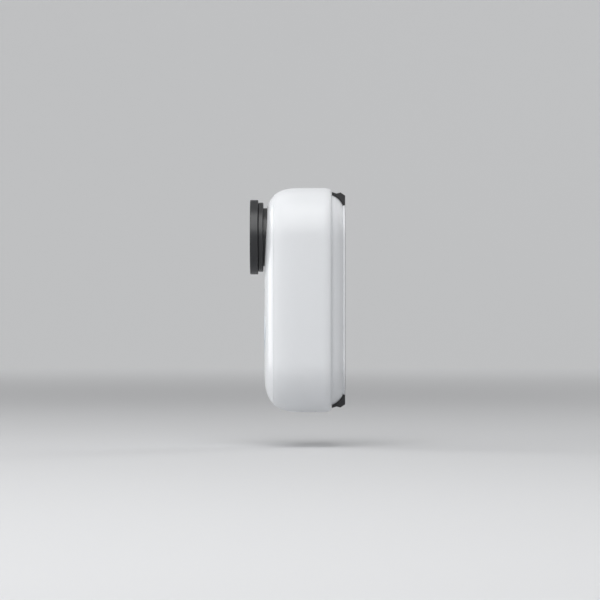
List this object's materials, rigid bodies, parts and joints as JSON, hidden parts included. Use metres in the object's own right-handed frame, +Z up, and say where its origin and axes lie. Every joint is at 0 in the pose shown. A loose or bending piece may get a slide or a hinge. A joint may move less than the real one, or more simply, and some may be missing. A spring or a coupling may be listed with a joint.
{
  "type": "video doorbell",
  "caption": "Pillow-shaped battery video doorbell with a raised round lens unit, call button, light ring and a magnetic wall plate.",
  "frame": {"origin": "midway between the two wall-screw holes, on the wall plate's back face", "axes": "+Y into the wall, -Y out of the front face, +Z up, +X to the right seen from the front"},
  "size_m": [0.052, 0.0465, 0.11],
  "materials": {
    "face_gloss": "white polished moulded plastic",
    "white_shell": "white satin moulded plastic",
    "turret_dark": "anthracite satin, fine moulded texture",
    "bracket_black": "black moulded plastic",
    "guard_glass": "tinted flat glass",
    "lens_glass": "coated lens glass",
    "light_diffuser": "milky translucent plastic",
    "motion_window": "milky polyethylene",
    "seal_rubber": "soft black silicone",
    "flap_rubber": "white soft plastic",
    "circuit_board": "solder-masked laminate",
    "chip_black": "moulded chip package",
    "inner_plastic": "dark glass-filled plastic",
    "battery_wrap": "shrink-wrapped cell",
    "cable_jacket": "insulated wire",
    "flex_film": "amber flexible circuit",
    "steel": "zinc-plated steel",
    "nickel": "nickel-plated magnet",
    "brass_plate": "stamped brass"
  },
  "bodies": {
    "bracket": {"wall_plate": "bracket_black", "bracket_magnets": "nickel"},
    "unit": {"front_cover": "face_gloss", "housing": "white_shell", "rear_cover": "white_shell", "front_gasket": "seal_rubber", "rear_gasket": "seal_rubber", "turret_base": "turret_dark", "turret_ring": "turret_dark", "lens_barrel": "inner_plastic", "lens_front_element": "lens_glass", "lens_inner_elements": "lens_glass", "ir_cut_filter": "lens_glass", "lens_holder": "inner_plastic", "image_sensor": "chip_black", "camera_board": "circuit_board", "ir_led_board": "circuit_board", "ir_leds": "chip_black", "lens_shroud": "inner_plastic", "button_return_ring": "seal_rubber", "light_ring": "light_diffuser", "button_board": "circuit_board", "call_switch": "chip_black", "ring_leds": "light_diffuser", "pir_window": "motion_window", "pir_sensor": "nickel", "microphone": "nickel", "mic_seal": "seal_rubber", "light_sensor": "light_diffuser", "speaker_frame": "inner_plastic", "speaker_cone": "inner_plastic", "speaker_magnet": "nickel", "main_board": "circuit_board", "shield_can": "nickel", "wifi_module": "nickel", "board_connectors": "inner_plastic", "chassis": "inner_plastic", "battery_cells": "battery_wrap", "battery_strap": "inner_plastic", "battery_protection_board": "circuit_board", "battery_lead": "cable_jacket", "speaker_lead": "cable_jacket", "camera_flex": "flex_film", "charge_board": "circuit_board", "usb_socket": "nickel", "rear_switch_board": "circuit_board", "rear_switches": "chip_black", "terminal_screws": "steel", "terminal_plates": "brass_plate", "unit_magnets": "nickel", "rear_cover_screws": "steel", "chassis_screws": "steel", "board_screws": "steel"},
    "call_button": {"button_cap": "white_shell"},
    "lens_guard": {"lens_guard_ring": "turret_dark", "guard_glass": "guard_glass", "guard_seal": "seal_rubber"},
    "usb_door": {"usb_flap": "flap_rubber"},
    "reset": {"reset_button": "inner_plastic"},
    "tamper": {"tamper_plunger": "inner_plastic"}
  },
  "joints": [
    {"name": "unit_pull_off", "type": "slide", "parent": "bracket", "child": "unit", "axis": [0, -1, 0], "range_m": [0, 0.03]},
    {"name": "call_button_press", "type": "slide", "parent": "unit", "child": "call_button", "axis": [0, 1, 0], "range_m": [0, 0.0006], "stiffness_N_per_m": 1500, "springref_m": -0.0006, "deforming": ["button_return_ring"]},
    {"name": "lens_guard_turn", "type": "hinge", "parent": "unit", "child": "lens_guard", "pos_m": [0, -0.0445, 0.03085], "axis": [0, -1, 0], "range_deg": [0, 25]},
    {"name": "usb_flap_open", "type": "hinge", "parent": "unit", "child": "usb_door", "pos_m": [0, -0.022, -0.0543], "axis": [-1, 0, 0], "range_deg": [0, 90]},
    {"name": "reset_button_press", "type": "slide", "parent": "unit", "child": "reset", "axis": [0, -1, 0], "range_m": [0, 0.0005], "stiffness_N_per_m": 1000, "springref_m": -0.0005},
    {"name": "tamper_press", "type": "slide", "parent": "unit", "child": "tamper", "axis": [0, -1, 0], "range_m": [0, 0.0008], "stiffness_N_per_m": 600, "springref_m": -0.0005}
  ]
}
